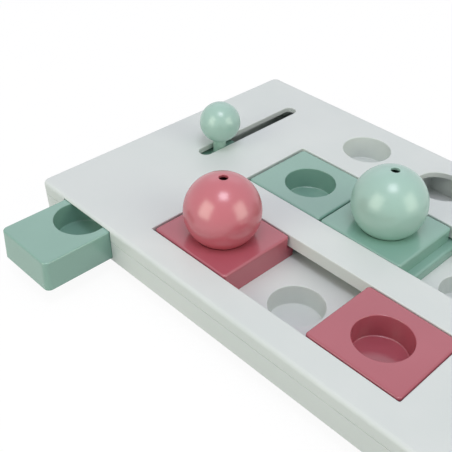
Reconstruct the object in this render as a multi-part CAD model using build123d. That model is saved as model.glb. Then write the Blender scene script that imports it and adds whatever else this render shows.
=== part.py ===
from build123d import *
import os
from math import radians, sqrt, tan

# Dog puzzle feeder: a flat board of two moulded shells with sliding tiles, drawers and lift-off balls.
# Millimetres. X runs along the channels, Y from the front wall to the back wall, Z up.
# The origin is on the ground under the middle of the board, at the bottom of the centre foot.

# ---- Board: the two shells ------------------------------------------------------------------
board_length = 400.0            # at the top, along X
board_width = 275.0             # at the top, along Y
board_height = 42.0             # ground to top surface
skirt_bottom = 11.5             # ground to the lower edge of the outer wall
corner_radius = 6.0
least_corner = 1.0              # inner corners of hollows
wall_draft = 2.4                # degrees, the outer wall leans in towards the ground
wall = 2.5                      # outer wall
rib = 2.0                       # inner walls and ribs
plate = 2.0                     # top plate of the cover
top_edge_radius = 3.0
opening_edge_radius = 0.8       # moulded rounding round every opening in the top
small_edge_radius = 0.5         # both sides of the parting line
skirt_edge_radius = 0.6         # lower edge of the outer wall
cover_depth = 11.4              # top surface to the parting line
seam = 0.4                      # gap in the parting line
lip_height = 2.0                # tray's lip, which centres the cover
lip_thickness = 1.1
rim_depth = 4.8                 # thickened rim round the slot and the windows
floor_thickness = 2.2

# ---- Places of the treat wells ----------------------------------------------------------------
column_pitch = 76.0
column_count = 3
first_column_inset = 38.8       # channel's left end to the first column
back_row_inset = 41.4           # board's back edge to the centres of the back row
well_radius = 20.6
well_draft = 1.5                # degrees
well_floor_round = 1.0
well_mouth_round = 0.7
cup_wall = 2.0
floor_well_depth = 17.0         # below the channel floor
cover_well_depth = 20.9
window_radius = 20.6

# ---- Channels and tiles -------------------------------------------------------------------------
tile_length = 74.4
tile_count_per_channel = 3      # places in a channel
channel_end_play = 0.3
channel_inset = 108.4           # board's left end to the channels
front_rail = 24.45              # board's front edge to the front channel
spine_width = 30.05             # between the channels
back_band = 81.7                # middle channel to the board's back edge
channel_depth = 20.9            # top surface to the channel floor
channel_corner = 1.2
channel_wall_rise = 1.0         # cover's channel walls end this far above the parting line
tile_side_gap = 0.9
tile_drop = 0.4                 # tile's top below the cover's top
tile_wall = 2.0
tile_corner = 3.0
tile_edge_round = 1.8
tile_glide = 0.2                # tile's foot above the channel floor
tile_well_depth = 18.3
tile_cup_floor = 1.6
side_flange = 5.0               # runs under the cover on both long sides
end_flange = 7.4                # runs under the cover at one end
flange_gap = 2.0                # flange's top below the cover's channel wall
guide_gap = 0.4                 # flange to the tray's guide wall
pink_tiles_shift = 0.5          # towards the spine, where the pink tiles lie at rest
pink_left_gap = 1.0             # left tile from its end of the channel
pink_right_gap = 0.7            # right tile from its end of the channel
green_left_gap = 1.8            # left tile from its end of the channel
green_seam = 1.0                # between the two green tiles

# ---- Balls ----------------------------------------------------------------------------------------
ball_radius = 28.9
ball_wall = 2.2
vent_radius = 3.4
vent_edge_round = 0.55
seat_gap = 0.3                  # ball to the rim of the tile's well

# ---- Left drawer and its lever ------------------------------------------------------------------
drawer_width = 57.5
drawer_gap = 0.3                # to the bay's sides and floor
drawer_wall = 2.2
drawer_round = 4.5              # upright edges
drawer_edge_round = 1.4         # edges of the top face
drawer_draft = 1.0              # degrees, the drawers narrow towards the top
drawer_well_depth = 17.7
bay_floor_z = 14.5
left_drawer_inset = 60.0        # board's left end to the drawer's centre line
left_drawer_top_gap = 0.5       # under the cover's plate
left_drawer_reach = 56.3        # front face out of the front wall
left_well_setback = 51.8        # front face to the centre of the well
left_box_length = 75.4          # front box, which holds the well
tongue_width = 34.0
tongue_overrun = 21.1           # from the lever to the tongue's end
tongue_gap = 2.5                # under the slot's rim
slot_offset = 4.0               # slot's centre line from the drawer's, towards the board's end
slot_width = 11.6
slot_inset = 122.0              # board's front edge to the slot
slot_length = 118.0
lever_setback = 200.2           # front face to the lever
post_radius = 5.5
post_flare_radius = 5.9         # where the post meets the knob
post_flare_height = 4.0
post_flange_radius = 7.0
post_flange_height = 2.0
tongue_boss_radius = 9.0
knob_radius = 17.2
knob_centre_z = 64.3
spigot_radius = 3.0
spigot_length = 12.0
fit_gap = 0.05                  # between pieces that are pushed together

# ---- Right drawer -----------------------------------------------------------------------------
right_drawer_end = 24.8         # centre of an end well to the drawer's end
right_drawer_top_gap = 1.2      # under the windows' rims
stop_width = 5.0
stop_height = 4.0

# ---- Screws and feet --------------------------------------------------------------------------
boss_radius = 5.0
boss_gap = 1.0                  # boss to the bay's wall beside it
screw_radius = 1.5
screw_length = 15.0
screw_head_radius = 3.4
screw_head_height = 2.2
screw_head_round = 0.7
screw_recess_width = 0.7
screw_recess_depth = 1.1
screw_tip_radius = 0.4
screw_tip_length = 3.0
screw_seat_z = 20.0
head_hole_radius = 3.9
tongue_screw_length = 12.0
foot_radius = 8.0
foot_height = 4.6
foot_round = 1.2
foot_stem_radius = 2.5
foot_stem_length = 5.0
foot_post_wall = 1.7
foot_post_end_z = 2.6           # ground to the post's lower rim
foot_inset_x = 26.0             # board's end to a corner foot
foot_inset_y = 26.0

# ---- Worked out from the above ----------------------------------------------------------------
parting_z = board_height - cover_depth
tray_top = parting_z - seam
plate_underside = board_height - plate
rim_bottom = board_height - rim_depth
channel_wall_low = parting_z + channel_wall_rise
deck_z = board_height - channel_depth
deck_underside = deck_z - floor_thickness
floor_underside = bay_floor_z - floor_thickness
tile_top = board_height - tile_drop
tile_foot = deck_z + tile_glide
flange_top = channel_wall_low - flange_gap
channel_width = (board_width - front_rail - spine_width - back_band) / 2
tile_width = channel_width - 2 * tile_side_gap
channel_left_x = -board_length / 2 + channel_inset
channel_length = tile_count_per_channel * tile_length + channel_end_play
channel_right_x = channel_left_x + channel_length
column_x = [channel_left_x + first_column_inset + column_pitch * k for k in range(column_count)]
front_row_y = -board_width / 2 + front_rail + channel_width / 2
middle_row_y = front_row_y + channel_width + spine_width
back_row_y = board_width / 2 - back_row_inset
channel_rows = {"front": front_row_y, "middle": middle_row_y}
bay_half_width = drawer_width / 2 + drawer_gap
drawer_foot = bay_floor_z + drawer_gap
left_drawer_top = plate_underside - left_drawer_top_gap
tongue_top = rim_bottom - tongue_gap
left_drawer_x = -board_length / 2 + left_drawer_inset
left_front_y = -board_width / 2 - left_drawer_reach
slot_x = left_drawer_x - slot_offset
slot_middle_y = -board_width / 2 + slot_inset + slot_length / 2
lever_y = left_front_y + lever_setback
tongue_end_y = lever_y + tongue_overrun
right_drawer_in_x = column_x[0] + column_pitch - right_drawer_end
right_drawer_length = 2 * right_drawer_end + column_pitch * (column_count - 1)
right_drawer_travel = column_pitch
right_drawer_top = rim_bottom - right_drawer_top_gap
track_half_width = channel_width / 2 - tile_side_gap + side_flange + guide_gap
track_left_x = channel_left_x - end_flange - guide_gap
track_right_x = channel_right_x + end_flange + guide_gap
track_front_y = front_row_y - track_half_width
track_back_y = middle_row_y + track_half_width
guide_top = plate_underside - seam
mouth_top_left = plate_underside
mouth_top_right = rim_bottom
ceiling_cut = 5.0               # how far a cutter runs past the face it opens


def slab(x0, x1, y0, y1, z0, z1):
    """Box from its lowest and highest corners."""
    return Pos((x0 + x1) / 2, (y0 + y1) / 2, (z0 + z1) / 2) * Box(x1 - x0, y1 - y0, z1 - z0)


def rounded_slab(x0, x1, y0, y1, z0, z1, radius):
    """Box with rounded upright corners."""
    outline = Pos((x0 + x1) / 2, (y0 + y1) / 2, z0) * RectangleRounded(x1 - x0, y1 - y0, radius)
    return extrude(outline, amount=z1 - z0)


def rod(x, y, z0, z1, radius):
    """Upright cylinder."""
    return Pos(x, y, (z0 + z1) / 2) * Cylinder(radius, z1 - z0)


def drafted_block(inset, z0, z1):
    """The board's outline moved in by inset, between two heights, leaning in with the outer wall."""
    lean = tan(radians(wall_draft))
    top_inset = inset + (board_height - z1) * lean
    low_inset = inset + (board_height - z0) * lean
    radius = max(corner_radius - inset, least_corner)
    outlines = []
    for z, edge in ((z0, low_inset), (z1, top_inset)):
        outline = RectangleRounded(board_length - 2 * edge, board_width - 2 * edge, radius)
        outlines.append(Pos(0, 0, z) * outline)
    return loft(outlines, ruled=True)


def wall_inset_at(z):
    """How far the outer wall's face stands in from the top outline at height z."""
    return (board_height - z) * tan(radians(wall_draft))


def well_cutter(radius, depth, mouth_round=well_mouth_round):
    """Round treat well with its mouth at z = 0: slightly conical wall, rounded floor corner and mouth."""
    floor_radius = radius - depth * tan(radians(well_draft))
    outline = Polyline((radius + mouth_round, 0), (radius + mouth_round, ceiling_cut), (0, ceiling_cut),
                       (0, -depth), (floor_radius, -depth), (radius, -mouth_round))
    bend = mouth_round * (1 - sqrt(0.5))
    mouth = ThreePointArc((radius, -mouth_round), (radius + bend, -bend), (radius + mouth_round, 0))
    face = make_face(outline + mouth)
    corner = face.vertices().sort_by_distance((floor_radius, -depth, 0))[0]
    face = fillet(corner, well_floor_round)
    return revolve(Plane.XZ * face, Axis.Z)


def cup(x, y, underside_z, root_z):
    """Outside of a moulded cup, as a solid from its underside up to where it joins the wall above."""
    body = rod(x, y, underside_z, root_z, well_radius + cup_wall)
    return fillet(body.edges().sort_by(Axis.Z)[0], well_floor_round)


def write(node, part):
    """One node, one STEP file."""
    export_step(part, "parts/" + node + ".step")


# ---- Places shared by both shells ----------------------------------------------------------------
def drawer_mouths():
    """Holes for the drawers: one through the front wall, one through the right wall."""
    reach = wall + wall_inset_at(skirt_bottom) + ceiling_cut
    front = slab(left_drawer_x - bay_half_width, left_drawer_x + bay_half_width,
                 -board_width / 2 - ceiling_cut, -board_width / 2 + reach, bay_floor_z, mouth_top_left)
    right = slab(board_length / 2 - reach, board_length / 2 + ceiling_cut,
                 back_row_y - bay_half_width, back_row_y + bay_half_width, bay_floor_z, mouth_top_right)
    return front + right


def screw_places():
    """Twelve places between the tracks, the bays and the outer wall."""
    inner_inset = wall + wall_inset_at(bay_floor_z)
    front_y = (front_row_y - track_half_width - rib - board_width / 2 + inner_inset) / 2
    spine_y = (front_row_y + middle_row_y) / 2
    left_x = (left_drawer_x - bay_half_width - rib - board_length / 2 + inner_inset) / 2
    neck_x = left_drawer_x + bay_half_width + rib + boss_radius + boss_gap
    right_x = (track_right_x + board_length / 2) / 2
    back_y = board_width / 2 - wall - 2 * boss_radius
    between_x = (column_x[0] + well_radius + cup_wall + right_drawer_in_x - rib) / 2
    front = [(x, front_y) for x in (left_x, neck_x, column_x[1], right_x)]
    spine = [(x, spine_y) for x in (left_x, column_x[0], column_x[2], right_x)]
    back = [(left_x, back_y), (neck_x, back_y), (between_x, back_row_y - well_radius)]
    return front + spine + back + [(right_x, middle_row_y + track_half_width / 2)]


def foot_places():
    """Centre foot, four corner feet and one at the middle of each long side."""
    x = board_length / 2 - foot_inset_x
    y = board_width / 2 - foot_inset_y
    side_x = (column_x[0] + column_x[1]) / 2
    return {"foot_centre": (0, 0), "foot_front_left": (-x, -y), "foot_front_right": (x, -y),
            "foot_front_middle": (side_x, -y), "foot_back_left": (-x, y), "foot_back_right": (x, y),
            "foot_back_middle": (side_x, y)}


def window_columns():
    """Columns of the back row that are open windows over the right drawer's bay."""
    return column_x[1:]


# ---- Top cover ----------------------------------------------------------------------------------
def slot_shape(grow):
    """The lever's slot, as a sketch, made wider and longer all round by grow."""
    outline = SlotOverall(slot_length + 2 * grow, slot_width + 2 * grow, rotation=90)
    return Pos(slot_x, slot_middle_y) * outline


def channel_slab(row_y, grow, z0, z1):
    """A channel's outline, grown all round, between two heights."""
    half = channel_width / 2 + grow
    return rounded_slab(channel_left_x - grow, channel_right_x + grow, row_y - half, row_y + half,
                        z0, z1, channel_corner + max(grow, 0))


def make_top_cover():
    cover = drafted_block(0, parting_z, board_height)
    cover = fillet(cover.edges().group_by(Axis.Z)[0], small_edge_radius)
    deep = parting_z - ceiling_cut
    for row_y in channel_rows.values():
        cover -= channel_slab(row_y, 0, deep, board_height + ceiling_cut)
    for x in window_columns():
        cover -= rod(x, back_row_y, deep, board_height + ceiling_cut, window_radius)
    cover -= extrude(Pos(0, 0, deep) * slot_shape(0), amount=cover_depth + 2 * ceiling_cut)

    # Round the edges of the top face: large on the outside, small round the openings.
    cover = fillet(cover.faces().sort_by(Axis.Z)[-1].outer_wire().edges(), top_edge_radius)
    inner = [wire.edges() for wire in cover.faces().sort_by(Axis.Z)[-1].inner_wires()]
    cover = fillet(ShapeList(edge for edges in inner for edge in edges), opening_edge_radius)

    # Hollow it from below, and keep the channel walls, the rims and the screw bosses.
    kept = Part()
    for row_y in channel_rows.values():
        kept += channel_slab(row_y, rib, channel_wall_low, board_height)
    for x in window_columns():
        kept += rod(x, back_row_y, rim_bottom, board_height, window_radius + rib)
    kept += extrude(Pos(0, 0, rim_bottom) * slot_shape(rib), amount=rim_depth)
    for x, y in screw_places():
        kept += rod(x, y, parting_z, board_height, boss_radius)
    cover -= drafted_block(wall, deep, plate_underside) - kept
    cover -= drafted_block(wall - lip_thickness - seam, deep, parting_z + lip_height + seam) - kept

    # The moulded well of the back row.
    cup_low = board_height - cover_well_depth - cup_wall
    cover += cup(column_x[0], back_row_y, cup_low, plate_underside + plate / 2)
    cover -= Pos(column_x[0], back_row_y, board_height) * well_cutter(well_radius, cover_well_depth)

    for x, y in screw_places():
        cover -= rod(x, y, deep, screw_seat_z + screw_length + fit_gap, screw_radius + fit_gap)
    return cover - drawer_mouths()


# ---- Base tray ----------------------------------------------------------------------------------
def make_base_tray():
    shell = drafted_block(0, skirt_bottom, tray_top)
    shell = fillet(shell.edges().group_by(Axis.Z)[0], skirt_edge_radius)
    shell = fillet(shell.edges().group_by(Axis.Z)[-1], small_edge_radius)
    tray = shell - drafted_block(wall, bay_floor_z, tray_top + ceiling_cut)
    tray -= drafted_block(wall, skirt_bottom - ceiling_cut, floor_underside)
    lip = drafted_block(wall - lip_thickness, tray_top - lip_height, tray_top + lip_height)
    tray += lip - drafted_block(wall, skirt_bottom, tray_top + ceiling_cut)

    # Fittings that stand on the floor; above the parting line they stay clear of the cover's skirt.
    room = drafted_block(wall - rib / 2, skirt_bottom, tray_top)
    room += drafted_block(wall + seam, skirt_bottom, guide_top)
    for fitting in drawer_bays() + [guide_wall()]:
        tray += fitting & room
    tray += deck()
    tray -= under_deck()
    for row_y in channel_rows.values():
        for x in column_x:
            tray += cup(x, row_y, deck_z - floor_well_depth - cup_wall, deck_z)
    for x, y in screw_places():
        tray += rod(x, y, floor_underside, tray_top, boss_radius)
    for x, y in foot_places().values():
        root_z = deck_z if under_the_deck(x, y) else bay_floor_z
        tray += rod(x, y, foot_post_end_z, root_z, foot_radius + foot_post_wall)

    for row_y in channel_rows.values():
        for x in column_x:
            tray -= Pos(x, row_y, deck_z) * well_cutter(well_radius, floor_well_depth)
    for x, y in screw_places():
        tray -= rod(x, y, skirt_bottom - ceiling_cut, screw_seat_z, head_hole_radius)
        tray -= rod(x, y, skirt_bottom, tray_top + ceiling_cut, screw_radius + 2 * fit_gap)
    for x, y in foot_places().values():
        tray -= rod(x, y, 0, foot_height, foot_radius + fit_gap)
        tray -= rod(x, y, 0, foot_height + foot_stem_length + fit_gap, foot_stem_radius + fit_gap)
    return tray - drawer_mouths()


def deck():
    """Floor of both channels and of the space under the spine, still solid down to the bays' floor."""
    return slab(track_left_x - rib, track_right_x + rib, track_front_y - rib, track_back_y + rib,
                floor_underside, deck_z)


def under_deck():
    """Space under the deck, open below, less two cross ribs between the wells."""
    space = slab(track_left_x, track_right_x, track_front_y, track_back_y,
                 floor_underside - ceiling_cut, deck_underside)
    for x in column_x[1:]:
        rib_x = x - column_pitch / 2
        space -= slab(rib_x - rib / 2, rib_x + rib / 2, track_front_y, track_back_y,
                      floor_underside, deck_underside)
    return space


def under_the_deck(x, y):
    """Whether a place on the underside lies under the deck."""
    return track_left_x < x < track_right_x and track_front_y < y < track_back_y


def guide_wall():
    """Wall round the deck, which steers the tiles' flanges and carries the cover."""
    outer = slab(track_left_x - rib, track_right_x + rib, track_front_y - rib, track_back_y + rib,
                 bay_floor_z, guide_top)
    return outer - slab(track_left_x, track_right_x, track_front_y, track_back_y,
                        bay_floor_z - ceiling_cut, guide_top + ceiling_cut)


def drawer_bays():
    """Side walls of the two drawer bays, the inner end of the right bay, and the right drawer's stop."""
    low = bay_floor_z - rib
    half = board_width / 2
    inner_end = right_drawer_in_x - drawer_gap
    walls = []
    for side in (-1, 1):
        x = left_drawer_x + side * (bay_half_width + rib / 2)
        walls.append(slab(x - rib / 2, x + rib / 2, -half, half, low, guide_top))
        y = back_row_y + side * (bay_half_width + rib / 2)
        walls.append(slab(inner_end - rib, board_length / 2, y - rib / 2, y + rib / 2, low, guide_top))
    walls.append(slab(inner_end - rib, inner_end, back_row_y - bay_half_width, back_row_y + bay_half_width,
                      low, guide_top))
    inner_face = drawer_wall + drawer_lean(drawer_foot, right_drawer_top)
    stop_x = right_drawer_in_x + right_drawer_travel + inner_face + drawer_gap
    walls.append(slab(stop_x, stop_x + stop_width, back_row_y - stop_width, back_row_y + stop_width,
                      low, bay_floor_z + stop_height))
    return walls


# ---- Tiles --------------------------------------------------------------------------------------
def make_tile(left_x, row_y, flange_side):
    """Sliding tile, its block's left edge at left_x. flange_side is -1 or 1: the end with the flange."""
    right_x = left_x + tile_length
    half = tile_width / 2

    def stepped(inset, foot_z, drop):
        block = rounded_slab(left_x + inset, right_x - inset, row_y - half + inset, row_y + half - inset,
                             foot_z, tile_top - drop, max(tile_corner - inset, least_corner))
        x0 = left_x - (end_flange if flange_side < 0 else 0)
        x1 = right_x + (end_flange if flange_side > 0 else 0)
        reach = half + side_flange - inset
        step = slab(x0 + inset, x1 - inset, row_y - reach, row_y + reach, foot_z, flange_top - drop)
        return block, step

    block, step = stepped(0, tile_foot, 0)
    block = fillet(block.edges().group_by(Axis.Z)[-1], tile_edge_round)
    step = fillet(step.edges().group_by(Axis.Z)[-1], tile_edge_round)
    inner_block, inner_step = stepped(tile_wall, tile_foot - ceiling_cut, tile_wall)
    x = (left_x + right_x) / 2
    tile = (block + step) - (inner_block + inner_step)
    tile += cup(x, row_y, tile_top - tile_well_depth - tile_cup_floor, tile_top - tile_wall / 2)
    return tile - Pos(x, row_y, tile_top) * well_cutter(well_radius, tile_well_depth)


def tile_places():
    """Left edge, row and flanged end of each tile at rest."""
    green_left_x = channel_left_x + green_left_gap
    pink_y = front_row_y + pink_tiles_shift
    return {"pink_tile_left": (channel_left_x + pink_left_gap, pink_y, -1),
            "pink_tile_right": (channel_right_x - pink_right_gap - tile_length, pink_y, 1),
            "green_tile_left": (green_left_x, middle_row_y, -1),
            "green_tile_middle": (green_left_x + tile_length + green_seam, middle_row_y, 1)}


# ---- Balls --------------------------------------------------------------------------------------
def make_ball(tile_node):
    """Hollow ball with a vent in its top, resting on the rounded mouth of the tile's well."""
    left_x, row_y, _ = tile_places()[tile_node]
    rim_circle = well_radius + well_mouth_round
    touch = ball_radius + well_mouth_round + seat_gap
    centre_z = tile_top - well_mouth_round + sqrt(touch ** 2 - rim_circle ** 2)
    ball = Sphere(ball_radius) - Sphere(ball_radius - ball_wall)
    ball -= rod(0, 0, 0, ball_radius + ceiling_cut, vent_radius)
    ball = fillet(ball.edges().filter_by(GeomType.CIRCLE).sort_by(Axis.Z)[-1], vent_edge_round)
    return Pos(left_x + tile_length / 2, row_y, centre_z) * ball


# ---- Left drawer with its lever -------------------------------------------------------------------
def drawer_lean(z0, z1):
    """How much a drawer's side leans in between two heights."""
    return (z1 - z0) * tan(radians(drawer_draft))


def hollow_box(x0, x1, y0, y1, z0, z1):
    """Moulded drawer box, open at the bottom, a little narrower at the top, with rounded outer edges."""
    lean = drawer_lean(z0, z1)
    middle = Pos((x0 + x1) / 2, (y0 + y1) / 2)
    low = middle * Pos(0, 0, z0) * RectangleRounded(x1 - x0, y1 - y0, drawer_round)
    high = middle * Pos(0, 0, z1) * RectangleRounded(x1 - x0 - 2 * lean, y1 - y0 - 2 * lean, drawer_round)
    box = loft([low, high], ruled=True)
    box = fillet(box.edges().group_by(Axis.Z)[-1], drawer_edge_round)
    inset = drawer_wall + lean
    return box - slab(x0 + inset, x1 - inset, y0 + inset, y1 - inset, z0 - ceiling_cut, z1 - drawer_wall)


def make_left_drawer():
    half = drawer_width / 2
    box_back_y = left_front_y + left_box_length
    well_y = left_front_y + left_well_setback
    drawer = hollow_box(left_drawer_x - half, left_drawer_x + half, left_front_y, box_back_y,
                        drawer_foot, left_drawer_top)
    tongue_half = tongue_width / 2
    tongue = slab(slot_x - tongue_half, slot_x + tongue_half, box_back_y - drawer_wall, tongue_end_y,
                  drawer_foot, tongue_top)
    tongue_half -= drawer_wall
    tongue -= slab(slot_x - tongue_half, slot_x + tongue_half, box_back_y, tongue_end_y - drawer_wall,
                   drawer_foot - ceiling_cut, tongue_top - drawer_wall)
    drawer += tongue
    drawer += rod(slot_x, lever_y, drawer_foot + post_flange_height, tongue_top - drawer_wall / 2,
                  tongue_boss_radius)
    cup_low = left_drawer_top - drawer_well_depth - cup_wall
    drawer += cup(left_drawer_x, well_y, cup_low, left_drawer_top - drawer_wall / 2)
    drawer -= Pos(left_drawer_x, well_y, left_drawer_top) * well_cutter(well_radius, drawer_well_depth)

    # Seat for the post's flange, and the screw's hole with room for its head.
    drawer -= rod(slot_x, lever_y, tongue_top - post_flange_height, tongue_top + ceiling_cut,
                  post_flange_radius + fit_gap)
    drawer -= rod(slot_x, lever_y, drawer_foot, tongue_top, screw_radius + 2 * fit_gap)
    drawer -= rod(slot_x, lever_y, drawer_foot, tongue_screw_seat(), head_hole_radius)
    return drawer


def tongue_screw_seat():
    """Height of the seat under the post where the lever's screw bears."""
    return tongue_top - post_flange_height - tongue_screw_length / 2


def make_lever_post():
    """Post through the slot: a flange let into the tongue, a shank that flares to the knob, a spigot."""
    flange_low = tongue_top - post_flange_height
    flange = rod(slot_x, lever_y, flange_low, tongue_top, post_flange_radius)
    knob_low = knob_centre_z - sqrt(knob_radius ** 2 - post_flare_radius ** 2)
    flare_low = knob_low - post_flare_height
    shank = rod(slot_x, lever_y, flange_low, flare_low, post_radius)
    flare = Cone(post_radius, post_flare_radius, post_flare_height)
    shank += Pos(slot_x, lever_y, (flare_low + knob_low) / 2) * flare
    ball = Pos(slot_x, lever_y, knob_centre_z) * Sphere(knob_radius + fit_gap)
    spigot = rod(slot_x, lever_y, flare_low, knob_centre_z - knob_radius + spigot_length, spigot_radius)
    post = flange + (shank - ball) + spigot
    top = tongue_screw_seat() + tongue_screw_length + fit_gap
    return post - rod(slot_x, lever_y, flange_low - ceiling_cut, top, screw_radius + fit_gap)


def make_lever_knob():
    """Ball knob with a blind socket for the post's spigot."""
    low = knob_centre_z - knob_radius
    knob = Pos(slot_x, lever_y, knob_centre_z) * Sphere(knob_radius)
    socket_end = low + spigot_length + fit_gap
    return knob - rod(slot_x, lever_y, low - ceiling_cut, socket_end, spigot_radius + fit_gap)


# ---- Right drawer ---------------------------------------------------------------------------------
def make_right_drawer():
    """Three-well drawer, at rest pulled out by one column so that the first window is empty."""
    half = drawer_width / 2
    x0 = right_drawer_in_x + right_drawer_travel
    top = right_drawer_top
    drawer = hollow_box(x0, x0 + right_drawer_length, back_row_y - half, back_row_y + half,
                        drawer_foot, top)
    depth = drawer_well_depth - left_drawer_top + top
    cup_low = top - depth - cup_wall
    for k in range(column_count):
        x = x0 + right_drawer_end + k * column_pitch
        drawer += cup(x, back_row_y, cup_low, top - drawer_wall / 2)
        if k > 0:
            rib_x = x - column_pitch / 2
            drawer += slab(rib_x - rib / 2, rib_x + rib / 2, back_row_y - half + drawer_wall,
                           back_row_y + half - drawer_wall, cup_low, top - drawer_wall / 2)
        drawer -= Pos(x, back_row_y, top) * well_cutter(well_radius, depth)
    return drawer


# ---- Screws and feet ------------------------------------------------------------------------------
def make_screw(x, y, seat_z, length):
    """Pan-head self-tapping screw pointing up, its head under the seat, with a cross recess."""
    head = rod(x, y, seat_z - screw_head_height, seat_z, screw_head_radius)
    head = fillet(head.edges().sort_by(Axis.Z)[0], screw_head_round)
    head_low = seat_z - screw_head_height
    for width, depth in ((screw_head_radius, screw_recess_width), (screw_recess_width, screw_head_radius)):
        head -= slab(x - width / 2, x + width / 2, y - depth / 2, y + depth / 2,
                     head_low - ceiling_cut, head_low + screw_recess_depth)
    shank = rod(x, y, seat_z, seat_z + length - screw_tip_length, screw_radius)
    tip = Cone(screw_radius, screw_tip_radius, screw_tip_length)
    return head + shank + Pos(x, y, seat_z + length - screw_tip_length / 2) * tip


def make_foot(x, y):
    """Rubber foot: a disc with a rounded lower edge, and a stem that plugs into the tray's post."""
    disc = rod(x, y, 0, foot_height, foot_radius)
    disc = fillet(disc.edges().sort_by(Axis.Z)[0], foot_round)
    return disc + rod(x, y, foot_height, foot_height + foot_stem_length, foot_stem_radius)


os.makedirs("parts", exist_ok=True)
write("top_cover", make_top_cover())
write("base_tray", make_base_tray())
for node, (tile_left_x, tile_row_y, flanged_end) in tile_places().items():
    write(node, make_tile(tile_left_x, tile_row_y, flanged_end))
write("pink_ball", make_ball("pink_tile_left"))
write("green_ball", make_ball("green_tile_middle"))
write("left_drawer", make_left_drawer())
write("lever_post", make_lever_post())
write("lever_knob", make_lever_knob())
write("lever_screw", make_screw(slot_x, lever_y, tongue_screw_seat(), tongue_screw_length))
write("right_drawer", make_right_drawer())
cover_screws = [make_screw(x, y, screw_seat_z, screw_length) for x, y in screw_places()]
write("cover_screws", Compound(children=cover_screws))
for foot_name, (foot_x, foot_y) in foot_places().items():
    write("rubber_" + foot_name, make_foot(foot_x, foot_y))
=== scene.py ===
# %% [markdown]
# # A dog's puzzle feeder, dressed and lit
#
# The toy is a flat board of two moulded shells. Round wells hold dry treats, and the dog gets at them by
# pushing tiles along two channels, pulling drawers, moving a ball-headed lever and lifting off hollow balls.
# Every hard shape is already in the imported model, so this script gives each piece the material that it is
# made of, and sets up a small photo studio round the toy.
#
# Lengths are in metres, or in millimetres where a name ends in mm. They are in the model's own frame: X
# along the channels, Y from the front wall to the back wall, Z up, with the origin on the ground under the
# middle of the board.

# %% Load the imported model
import math

import bpy
import numpy as np
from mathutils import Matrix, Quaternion, Vector

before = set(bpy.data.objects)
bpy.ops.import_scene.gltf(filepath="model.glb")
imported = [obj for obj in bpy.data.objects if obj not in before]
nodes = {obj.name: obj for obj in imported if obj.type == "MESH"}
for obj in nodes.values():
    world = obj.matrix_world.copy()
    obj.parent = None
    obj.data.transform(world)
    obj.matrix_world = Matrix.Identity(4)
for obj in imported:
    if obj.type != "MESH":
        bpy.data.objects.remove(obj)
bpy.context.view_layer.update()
mm = 0.001  # one millimetre in metres

# %% [markdown]
# ## Colours
#
# A colour is given as an sRGB hex value, but shaders add up light, so they want linear numbers. One
# function turns the first into the second, and every colour in the script goes through it.


# %% Turn an sRGB hex value into linear light
def linear(hex_colour):
    """Red, green, blue and alpha in linear light, from a hex colour written as #RRGGBB.

    A channel c of 0 to 1 becomes c / 12.92 up to 0.04045, and ((c + 0.055) / 1.055) to the power 2.4 above.
    """
    srgb = np.array([int(hex_colour[i:i + 2], 16) for i in (1, 3, 5)]) / 255
    light = np.where(srgb <= 0.04045, srgb / 12.92, ((srgb + 0.055) / 1.055) ** 2.4)
    return (*light.tolist(), 1.0)


print("the grey #808080 gives off", round(linear("#808080")[0], 3), "of white's light")

# %% [markdown]
# ## One way to add a node
#
# A material is a small graph. Each call of the helper adds one node, sets its plain settings, fills its
# sockets and links what it reads, so that a recipe reads from top to bottom.


# %% A helper that adds one node
def add(tree, kind, links=None, values=None, **settings):
    """Adds one node. Links maps a socket to another node's output, and values to a number or a colour."""
    node = tree.nodes.new(kind)
    for name, setting in settings.items():
        setattr(node, name, setting)
    for socket, value in (values or {}).items():
        node.inputs[socket].default_value = value
    for socket, source in (links or {}).items():
        tree.links.new(source, node.inputs[socket])
    return node


def new_material(name):
    """An empty node material with only its output node, returned as (material, tree, output)."""
    material = bpy.data.materials.new(name)
    material.use_nodes = True
    material.node_tree.nodes.clear()
    return material, material.node_tree, add(material.node_tree, "ShaderNodeOutputMaterial")


print("materials so far", len(bpy.data.materials))

# %% [markdown]
# ## Moulded plastic
#
# The shells, tiles, drawers, balls and lever are injection-moulded ABS. Three things tell the eye so:
#
# - the colour runs right through, with very soft clouds where the melt flowed,
# - the tool's spark-eroded surface leaves a fine even grain, which breaks up reflections,
# - the sheen changes a little from place to place.
#
# A bitmap could carry this, but noise measured in millimetres stays sharp on any face and needs no
# unwrapping. Each of the three is one noise, and only the numbers change from one plastic to the next, so
# one recipe makes them all.

# %% A recipe for moulded ABS
abs_ior = 1.53
cloud_mm = 55
patch_mm = cloud_mm / 6  # six patches of sheen across a cloud
noise_low = 0.3  # most of a noise's values lie between these two
noise_high = 0.7


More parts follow.
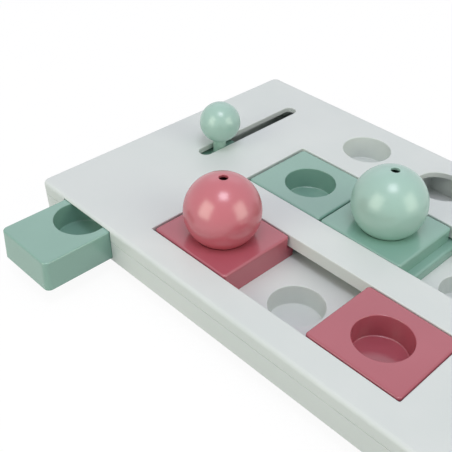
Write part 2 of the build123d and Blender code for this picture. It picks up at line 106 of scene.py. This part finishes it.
def moulded_abs(name, colour, shade, roughness, sheen_swing, grain_mm, grain_depth_mm, reflection):
    """The colour drifts to its shade over clouds, roughness swings over patches, and a fine grain bumps.

    Reflection is how much of a clean surface's mirror image is left, where 0.5 is what the IOR alone gives.
    """
    material, tree, output = new_material(name)
    place = add(tree, "ShaderNodeTexCoord").outputs["Object"]
    clouds = add(tree, "ShaderNodeTexNoise", {"Vector": place},
                 {"Scale": 1 / (cloud_mm * mm), "Detail": 2.0, "Roughness": 0.45})
    spread = add(tree, "ShaderNodeMapRange", {"Value": clouds.outputs["Fac"]},
                 {"From Min": noise_low, "From Max": noise_high}, interpolation_type="SMOOTHSTEP")
    tint = add(tree, "ShaderNodeMix", {"Factor": spread.outputs["Result"]},
               {"A": linear(colour), "B": linear(shade)}, data_type="RGBA")
    patches = add(tree, "ShaderNodeTexNoise", {"Vector": place},
                  {"Scale": 1 / (patch_mm * mm), "Detail": 3.0})
    sheen = add(tree, "ShaderNodeMapRange", {"Value": patches.outputs["Fac"]},
                {"To Min": roughness - sheen_swing, "To Max": roughness + sheen_swing})
    grain = add(tree, "ShaderNodeTexNoise", {"Vector": place},
                {"Scale": 1 / (grain_mm * mm), "Detail": 1.0})
    bump = add(tree, "ShaderNodeBump", {"Height": grain.outputs["Fac"]},
               {"Strength": 1.0, "Distance": grain_depth_mm * mm})
    plastic = add(tree, "ShaderNodeBsdfPrincipled",
                  {"Base Color": tint.outputs["Result"], "Roughness": sheen.outputs["Result"],
                   "Normal": bump.outputs["Normal"]},
                  {"IOR": abs_ior, "Specular IOR Level": reflection})
    tree.links.new(plastic.outputs["BSDF"], output.inputs["Surface"])
    return material


print("ABS has clouds", cloud_mm, "mm wide and patches of sheen", round(patch_mm, 1), "mm wide")

# %% [markdown]
# The shells are a pale, slightly cool grey with a satin grain. Such a grain is really about a quarter of a
# millimetre wide. It is drawn about three times as wide, and wider still on the balls and the lever,
# because a finer one can't be seen at this distance.
#
# The tiles and drawers are the glossiest pieces. Their flat faces mirror only broad, even light, so the
# gloss shows as thin pale lines along their rounded edges. That light also whitens them, so their own
# colours are written deeper than they look. The balls and the lever are a little softer, and show the
# studio's lamps as soft spots. Their colours are written paler than the tiles' and drawers'. This is painted
# light that stands in for the light lost where much of a ball turns away from the lamps.

# %% The plastics of this toy
shell_abs = moulded_abs("shell_abs_satin", "#D8DEDA", "#D4DBD7", roughness=0.4, sheen_swing=0.04,
                        grain_mm=0.8, grain_depth_mm=0.005, reflection=0.35)
mint_abs = moulded_abs("mint_abs_gloss", "#82AB9C", "#7EA798", roughness=0.2, sheen_swing=0.02,
                       grain_mm=0.7, grain_depth_mm=0.002, reflection=0.8)
# painted light: this mint is written paler than the tiles' mint, to stand in for light the ball's far side
# misses
mint_ball_abs_painted_light = moulded_abs("mint_abs_soft_gloss_painted_light", "#A2C5B8", "#9DC0B3", roughness=0.26, sheen_swing=0.02,
                            grain_mm=1.4, grain_depth_mm=0.001, reflection=0.8)
pink_abs = moulded_abs("pink_abs_gloss", "#AF5965", "#AA5460", roughness=0.2, sheen_swing=0.02,
                       grain_mm=0.7, grain_depth_mm=0.002, reflection=0.7)
# painted light: this pink is written paler than the tiles' pink, to stand in for light the ball's far side
# misses
pink_ball_abs_painted_light = moulded_abs("pink_abs_soft_gloss_painted_light", "#C46570", "#BF606B", roughness=0.24, sheen_swing=0.02,
                            grain_mm=1.4, grain_depth_mm=0.001, reflection=1.0)
plastics = (shell_abs, mint_abs, mint_ball_abs_painted_light, pink_abs, pink_ball_abs_painted_light)
print("plastics", [plastic.name for plastic in plastics])

# %% [markdown]
# ## Rubber
#
# The feet are moulded rubber: dark, nearly without shine, with a pale dusty bloom. One dark colour would
# make them look like holes in the shadow under the board. So a coarse noise mixes in the bloom, and a fine
# one bumps the skin.


# %% Rubber of the feet
def moulded_rubber(name, colour, bloom_colour, roughness):
    """A dark base that turns to its bloom where a coarse noise is high, over a fine grain.

    The bloom's share is 0 up to bloom_start in the noise, and rises evenly to bloom_share at bloom_full.
    """
    rubber_ior = 1.52
    bloom_mm = 4
    bloom_start = 0.45
    bloom_full = 0.75
    bloom_share = 0.35
    grain_mm = 0.5
    grain_depth_mm = 0.02
    material, tree, output = new_material(name)
    place = add(tree, "ShaderNodeTexCoord").outputs["Object"]
    bloom = add(tree, "ShaderNodeTexNoise", {"Vector": place},
                {"Scale": 1 / (bloom_mm * mm), "Detail": 4.0})
    share = add(tree, "ShaderNodeMapRange", {"Value": bloom.outputs["Fac"]},
                {"From Min": bloom_start, "From Max": bloom_full, "To Max": bloom_share})
    tint = add(tree, "ShaderNodeMix", {"Factor": share.outputs["Result"]},
               {"A": linear(colour), "B": linear(bloom_colour)}, data_type="RGBA")
    grain = add(tree, "ShaderNodeTexNoise", {"Vector": place}, {"Scale": 1 / (grain_mm * mm)})
    bump = add(tree, "ShaderNodeBump", {"Height": grain.outputs["Fac"]}, {"Distance": grain_depth_mm * mm})
    rubber = add(tree, "ShaderNodeBsdfPrincipled",
                 {"Base Color": tint.outputs["Result"], "Normal": bump.outputs["Normal"]},
                 {"Roughness": roughness, "IOR": rubber_ior})
    tree.links.new(rubber.outputs["BSDF"], output.inputs["Surface"])
    return material


foot_rubber = moulded_rubber("foot_rubber_matt", "#3B3E40", "#5A5D5E", roughness=0.78)
print("rubber", foot_rubber.name)

# %% [markdown]
# ## Steel
#
# The screws are zinc-plated steel. The plating is a skin of fine crystals, so the metal is bright but a
# little cloudy, and its gloss changes from speck to speck. Scratches could be drawn instead, but a screw's
# head is too small for them to read. The crystals are too fine to see one by one, so the specks are drawn
# a third of a millimetre wide.


# %% Steel of the screws
def plated_steel(name, colour, brightest_roughness, dullest_roughness):
    """Metal whose roughness goes from its brightest to its dullest as a noise of specks goes from 0 to 1."""
    speck_mm = 0.3
    material, tree, output = new_material(name)
    place = add(tree, "ShaderNodeTexCoord").outputs["Object"]
    specks = add(tree, "ShaderNodeTexNoise", {"Vector": place},
                 {"Scale": 1 / (speck_mm * mm), "Detail": 2.0})
    gloss = add(tree, "ShaderNodeMapRange", {"Value": specks.outputs["Fac"]},
                {"To Min": brightest_roughness, "To Max": dullest_roughness})
    steel = add(tree, "ShaderNodeBsdfPrincipled", {"Roughness": gloss.outputs["Result"]},
                {"Base Color": linear(colour), "Metallic": 1.0})
    tree.links.new(steel.outputs["BSDF"], output.inputs["Surface"])
    return material


screw_steel = plated_steel("screw_steel_zinc", "#C9C9CB", brightest_roughness=0.28, dullest_roughness=0.46)
print("steel", screw_steel.name)

# %% [markdown]
# ## Dress the pieces
#
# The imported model's pieces keep their meshes and only change material. The script could look for a word
# such as tile in each name, but a table is plainer: it says once which piece is made of what, and every
# piece that it doesn't name is a foot.

# %% Give every carried-over piece its material
dress = {
    "top_cover": shell_abs, "base_tray": shell_abs,
    "left_drawer": mint_abs, "green_tile_left": mint_abs, "green_tile_middle": mint_abs,
    "lever_post": mint_ball_abs_painted_light, "lever_knob": mint_ball_abs_painted_light, "green_ball": mint_ball_abs_painted_light,
    "pink_tile_left": pink_abs, "pink_tile_right": pink_abs, "right_drawer": pink_abs,
    "pink_ball": pink_ball_abs_painted_light, "cover_screws": screw_steel, "lever_screw": screw_steel,
}
for name, piece in nodes.items():
    piece.data.materials.clear()
    piece.data.materials.append(dress.get(name, foot_rubber))
print("dressed", len(dress), "named pieces and", len(nodes) - len(dress), "feet")

# %% [markdown]
# ## Aim cameras and lamps
#
# A camera and a lamp both look along their own -Z. Typed rotations are hard to picture, so each gets a
# direction instead, as one angle round the toy and one angle up, and is turned to look back along it.


# %% Helpers that give a direction and aim along it
def direction(azimuth, elevation):
    """A unit vector: azimuth degrees round from the front, -Y, towards +X, and elevation degrees up."""
    a = math.radians(azimuth)
    e = math.radians(elevation)
    return Vector((math.sin(a) * math.cos(e), -math.cos(a) * math.cos(e), math.sin(e)))


def stand(name, data, place, outwards, roll=0.0):
    """Puts a camera or lamp at a place, looking against outwards and rolled about it by roll degrees."""
    holder = bpy.data.objects.new(name, data)
    bpy.context.scene.collection.objects.link(holder)
    holder.location = place
    holder.rotation_mode = "QUATERNION"
    holder.rotation_quaternion = ((-outwards).to_track_quat("-Z", "Y")
                                  @ Quaternion((0, 0, 1), math.radians(roll)))
    return holder


print("45 degrees round and 30 up is", [round(c, 3) for c in direction(45, 30)])

# %% [markdown]
# ## The camera
#
# The toy is seen from its front right corner, from above, through a short telephoto. The camera is rolled
# a little, because one held in the hand is seldom quite level, and its lens is shifted, which moves the
# toy in the picture without turning the camera.

# %% Place and aim the camera
camera_place = Vector((0.2689, -0.3982, 0.3945))
camera_azimuth = 43.73
camera_elevation = 36.43
camera_roll = 2.38
sensor_mm = 36.0
lens_mm = 62.0
lens_shift = (-0.0272, -0.0270)  # in shares of the picture's width

camera_data = bpy.data.cameras.new("studio_camera")
camera_data.sensor_width = sensor_mm
camera_data.lens = lens_mm
camera_data.shift_x, camera_data.shift_y = lens_shift
camera = stand("studio_camera", camera_data, camera_place,
               direction(camera_azimuth, camera_elevation), camera_roll)
bpy.context.scene.camera = camera
print("camera", [round(c, 3) for c in camera.location])

# %% [markdown]
# ## Softboxes
#
# Spot lamps would give small hard highlights and sharp shadows, so the studio has softboxes. Two tall ones
# stand left and right of the camera, and a smaller one hangs overhead. Their soft-edged reflections are
# the three pale spots on each ball. A wide, faint one behind the toy gives the flat tops a cool sheen. All
# four stand six boards away, so that the far end of the board is lit almost as brightly as the near one.

# %% Hang the softboxes
studio_centre = Vector((0.0, -0.02, 0.03))
lamp_distance = 2.4
side_light = "#FBFFEC"
sky_light = "#F6F3FF"
rear_light = "#F2F4FF"


def softbox(name, azimuth, elevation, width, height, watts, colour):
    """A rectangular lamp at lamp_distance from the studio's centre, in a direction, facing the centre."""
    lamp = bpy.data.lights.new(name, "AREA")
    lamp.shape = "RECTANGLE"
    lamp.size = width
    lamp.size_y = height
    lamp.energy = watts
    lamp.color = linear(colour)[:3]
    outwards = direction(azimuth, elevation)
    return stand(name, lamp, studio_centre + outwards * lamp_distance, outwards)


softboxes = (
    softbox("softbox_left", -10, 22, width=1.5, height=1.9, watts=23.5, colour=side_light),
    softbox("softbox_right", 103, 22, width=1.5, height=1.9, watts=20.0, colour=side_light),
    softbox("softbox_overhead", 45, 76, width=0.95, height=0.95, watts=15.0, colour=sky_light),
    softbox("softbox_back", 223, 38, width=2.4, height=1.2, watts=3.2, colour=rear_light),
)
print("softboxes", {lamp.name: round(lamp.data.energy, 1) for lamp in softboxes}, "watts")

# %% [markdown]
# ## The tent
#
# A white tent round everything fills the shadows. The background has to look pure white without throwing
# more light on the toy. A brighter tent would bleach the pale shells, so the tent and the floor look white
# to the camera and to reflections, and dimmer to everything else.


# %% Put up the tent
def seen_rays(tree):
    """1 for rays that come from the camera, a reflection or clear glass, and 0 for all other light."""
    ray = add(tree, "ShaderNodeLightPath")
    either = add(tree, "ShaderNodeMath", {0: ray.outputs["Is Camera Ray"], 1: ray.outputs["Is Glossy Ray"]},
                 operation="MAXIMUM")
    any_of_three = add(tree, "ShaderNodeMath", {0: either.outputs[0], 1: ray.outputs["Is Transmission Ray"]},
                       operation="MAXIMUM")
    return any_of_three.outputs[0]


def tent(name, zenith, colour):
    """White to the camera and to reflections, and to other rays a coloured fill from above.

    The fill's strength is zenith times the upward part Z of the ray's direction, and 0 below the horizon.
    """
    world = bpy.data.worlds.new(name)
    world.use_nodes = True
    tree = world.node_tree
    tree.nodes.clear()
    output = add(tree, "ShaderNodeOutputWorld")
    seen = add(tree, "ShaderNodeBackground", values={"Color": linear("#FFFFFF"), "Strength": 1.0})
    ray_direction = add(tree, "ShaderNodeTexCoord").outputs["Generated"]
    height = add(tree, "ShaderNodeSeparateXYZ", {"Vector": ray_direction})
    strength = add(tree, "ShaderNodeMapRange", {"Value": height.outputs["Z"]}, {"To Max": zenith})
    fill = add(tree, "ShaderNodeBackground", {"Strength": strength.outputs["Result"]},
               {"Color": linear(colour)})
    blend = add(tree, "ShaderNodeMixShader", {0: seen_rays(tree), 1: fill.outputs[0], 2: seen.outputs[0]})
    tree.links.new(blend.outputs[0], output.inputs["Surface"])
    return world


bpy.context.scene.world = tent("studio_tent", zenith=0.78, colour=sky_light)
print("world", bpy.context.scene.world.name)

# %% [markdown]
# ## The floor
#
# The floor is a sheet of matt white paper. Lit like the toy, a real sheet would look grey beside the
# tent, so to the camera it is mostly plain white, with enough of its own shading left for the toy's
# shadow.

# %% Lay the floor
floor_half_side = 4.0
floor_steps = 8


def flat_grid(name, half_side, steps):
    """A square sheet at height zero, with steps + 1 points along each side.

    Point (i, j) lies at X = -half_side + 2 half_side i / steps, and at the same Y with j in place of i.
    """
    line = np.linspace(-half_side, half_side, steps + 1)
    x, y = np.meshgrid(line, line, indexing="ij")
    points = np.stack([x, y, np.zeros_like(x)], axis=-1).reshape(-1, 3)
    index = np.arange((steps + 1) ** 2).reshape(steps + 1, steps + 1)
    corners = [index[:-1, :-1], index[1:, :-1], index[1:, 1:], index[:-1, 1:]]
    faces = np.stack(corners, axis=-1).reshape(-1, 4)
    mesh = bpy.data.meshes.new(name)
    mesh.from_pydata(points.tolist(), [], faces.tolist())
    sheet = bpy.data.objects.new(name, mesh)
    bpy.context.scene.collection.objects.link(sheet)
    return sheet


def paper(name, colour, roughness, whiteness):
    """Matt paper. For camera, mirror and glass rays, whiteness is the share of plain white mixed into it."""
    fibre_mm = 2
    fibre_depth_mm = 0.05
    glow = 1.08  # a little over white, because the lit paper in the mix is a little under it
    material, tree, output = new_material(name)
    place = add(tree, "ShaderNodeTexCoord").outputs["Object"]
    fibres = add(tree, "ShaderNodeTexNoise", {"Vector": place}, {"Scale": 1 / (fibre_mm * mm)})
    bump = add(tree, "ShaderNodeBump", {"Height": fibres.outputs["Fac"]}, {"Distance": fibre_depth_mm * mm})
    matt = add(tree, "ShaderNodeBsdfPrincipled", {"Normal": bump.outputs["Normal"]},
               {"Base Color": linear(colour), "Roughness": roughness})
    white = add(tree, "ShaderNodeEmission", values={"Color": linear("#FFFFFF"), "Strength": glow})
    share = add(tree, "ShaderNodeMath", {0: seen_rays(tree)}, {1: whiteness}, operation="MULTIPLY")
    blend = add(tree, "ShaderNodeMixShader", {0: share.outputs[0], 1: matt.outputs[0], 2: white.outputs[0]})
    tree.links.new(blend.outputs[0], output.inputs["Surface"])
    return material


floor = flat_grid("studio_floor", floor_half_side, floor_steps)
floor.data.materials.append(paper("floor_paper", "#C4C4C4", roughness=0.9, whiteness=0.86))
print("floor of", len(floor.data.polygons), "faces,", 2 * floor_half_side, "m square")

# %% [markdown]
# ## The last line
#
# The Standard view shows a colour about as it is written.

# %% Set the view and finish
bpy.context.scene.view_settings.view_transform = "Standard"
